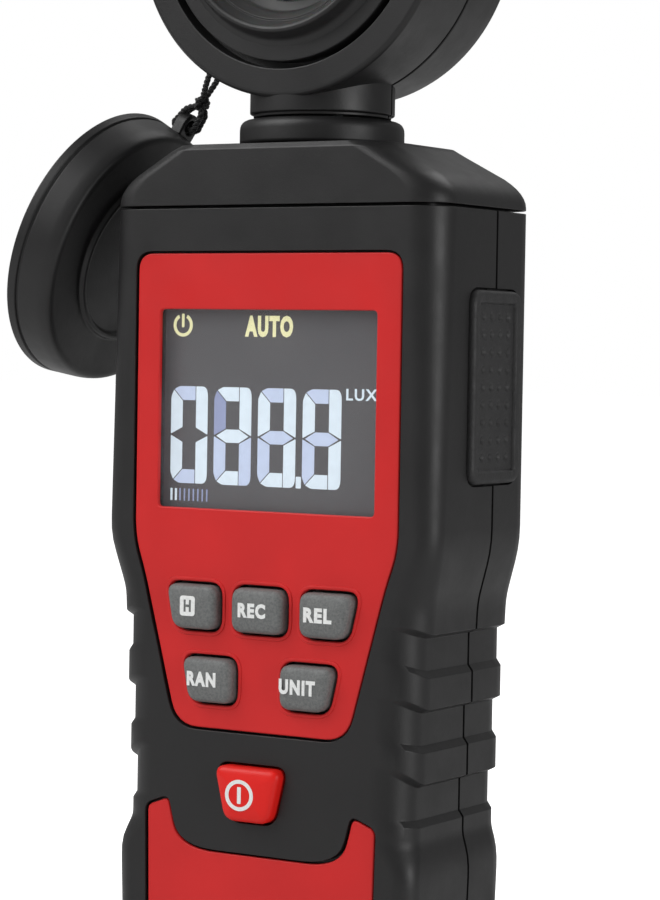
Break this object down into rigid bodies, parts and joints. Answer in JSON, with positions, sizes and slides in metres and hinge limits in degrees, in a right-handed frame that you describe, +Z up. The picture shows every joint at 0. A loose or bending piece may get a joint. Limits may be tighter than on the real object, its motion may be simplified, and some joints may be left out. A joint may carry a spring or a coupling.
{
  "type": "handheld light meter",
  "caption": "Slim two-tone handheld lux meter with a display, keypad and a round swivelling sensor head with a domed diffuser and hanging cap.",
  "frame": {"origin": "centre of the flat base that the meter stands on", "axes": "+Z up the case towards the sensor head, -Y out of the display, +X to the right seen from the front"},
  "size_m": [0.0767, 0.0412, 0.185],
  "materials": {
    "black_plastic": "fine moulded grain, satin",
    "pad_rubber": "soft dimpled rubber",
    "red_plastic": "satin red moulding",
    "key_grey": "matt keys with pale printed legends",
    "power_red": "bright red key with a pale printed symbol",
    "window_clear": "clear flat window",
    "lcd_glass": "dark display field with lit segments",
    "white_plastic": "milky translucent white",
    "circuit_board": "green solder mask",
    "chip_black": "moulded black package",
    "silicone": "translucent grey silicone",
    "plated_steel": "plated",
    "insert_brass": "machined",
    "cell_jacket": "printed metal jacket",
    "filter_glass": "green-tinted correction glass",
    "cord_black": "braided black cord"
  },
  "bodies": {
    "body": {"front_shell": "black_plastic", "rear_shell": "black_plastic", "top_cap": "black_plastic", "face_panel": "red_plastic", "lower_panel": "red_plastic", "side_pad_right": "pad_rubber", "side_pad_left": "pad_rubber", "tripod_insert": "insert_brass", "case_screw_lower_left": "plated_steel", "case_screw_lower_right": "plated_steel", "case_screw_upper_left": "plated_steel", "case_screw_upper_right": "plated_steel", "display_window": "window_clear", "lcd_panel": "lcd_glass", "backlight": "white_plastic", "elastomer_strip": "silicone", "main_board": "circuit_board", "processor": "chip_black", "keypad_mat": "silicone", "battery_tray": "black_plastic", "battery_1": "cell_jacket", "battery_2": "cell_jacket", "battery_3": "cell_jacket", "battery_spring_1": "plated_steel", "battery_spring_2": "plated_steel", "battery_spring_3": "plated_steel", "contact_plate_top_left": "plated_steel", "contact_plate_top_right": "plated_steel", "contact_plate_bottom_left": "plated_steel", "contact_plate_bottom_right": "plated_steel", "neck_collar": "black_plastic", "sensor_lead": "cord_black"},
    "battery_door": {"battery_door": "black_plastic"},
    "hold_key": {"hold_key": "key_grey"},
    "record_key": {"record_key": "key_grey"},
    "relative_key": {"relative_key": "key_grey"},
    "range_key": {"range_key": "key_grey"},
    "unit_key": {"unit_key": "key_grey"},
    "power_key": {"power_key": "power_red"},
    "head": {"neck_washer": "plated_steel", "neck_tube": "plated_steel", "head_front_shell": "black_plastic", "head_rear_shell": "black_plastic", "sensor_bezel": "black_plastic", "diffuser_dome": "white_plastic", "colour_filter": "filter_glass", "photodiode": "chip_black", "sensor_board": "circuit_board", "head_screw_1": "plated_steel", "head_screw_2": "plated_steel", "head_screw_3": "plated_steel"},
    "cap": {"sensor_cap": "black_plastic", "lanyard": "cord_black"}
  },
  "joints": [
    {"name": "head_swivel", "type": "hinge", "parent": "body", "child": "head", "pos_m": [0, 0, 0.133], "axis": [0, 0, 1], "range_deg": [-135, 135]},
    {"name": "hold_key_press", "type": "slide", "parent": "body", "child": "hold_key", "axis": [0, 1, 0], "range_m": [0, 0.0008], "stiffness_N_per_m": 1000, "springref_m": -0.0003},
    {"name": "record_key_press", "type": "slide", "parent": "body", "child": "record_key", "axis": [0, 1, 0], "range_m": [0, 0.0008], "stiffness_N_per_m": 1000, "springref_m": -0.0003},
    {"name": "relative_key_press", "type": "slide", "parent": "body", "child": "relative_key", "axis": [0, 1, 0], "range_m": [0, 0.0008], "stiffness_N_per_m": 1000, "springref_m": -0.0003},
    {"name": "range_key_press", "type": "slide", "parent": "body", "child": "range_key", "axis": [0, 1, 0], "range_m": [0, 0.0008], "stiffness_N_per_m": 1000, "springref_m": -0.0003},
    {"name": "unit_key_press", "type": "slide", "parent": "body", "child": "unit_key", "axis": [0, 1, 0], "range_m": [0, 0.0008], "stiffness_N_per_m": 1000, "springref_m": -0.0003},
    {"name": "power_key_press", "type": "slide", "parent": "body", "child": "power_key", "axis": [0, 1, 0], "range_m": [0, 0.0008], "stiffness_N_per_m": 1000, "springref_m": -0.0003},
    {"name": "battery_door_hinge", "type": "hinge", "parent": "body", "child": "battery_door", "pos_m": [0, 0.0145, 0.009], "axis": [-1, 0, 0], "range_deg": [0, 50]},
    {"name": "cap_swing", "type": "hinge", "parent": "head", "child": "cap", "pos_m": [-0.02256, 0.01, 0.1461], "axis": [0, 1, 0], "range_deg": [0, 60]}
  ]
}
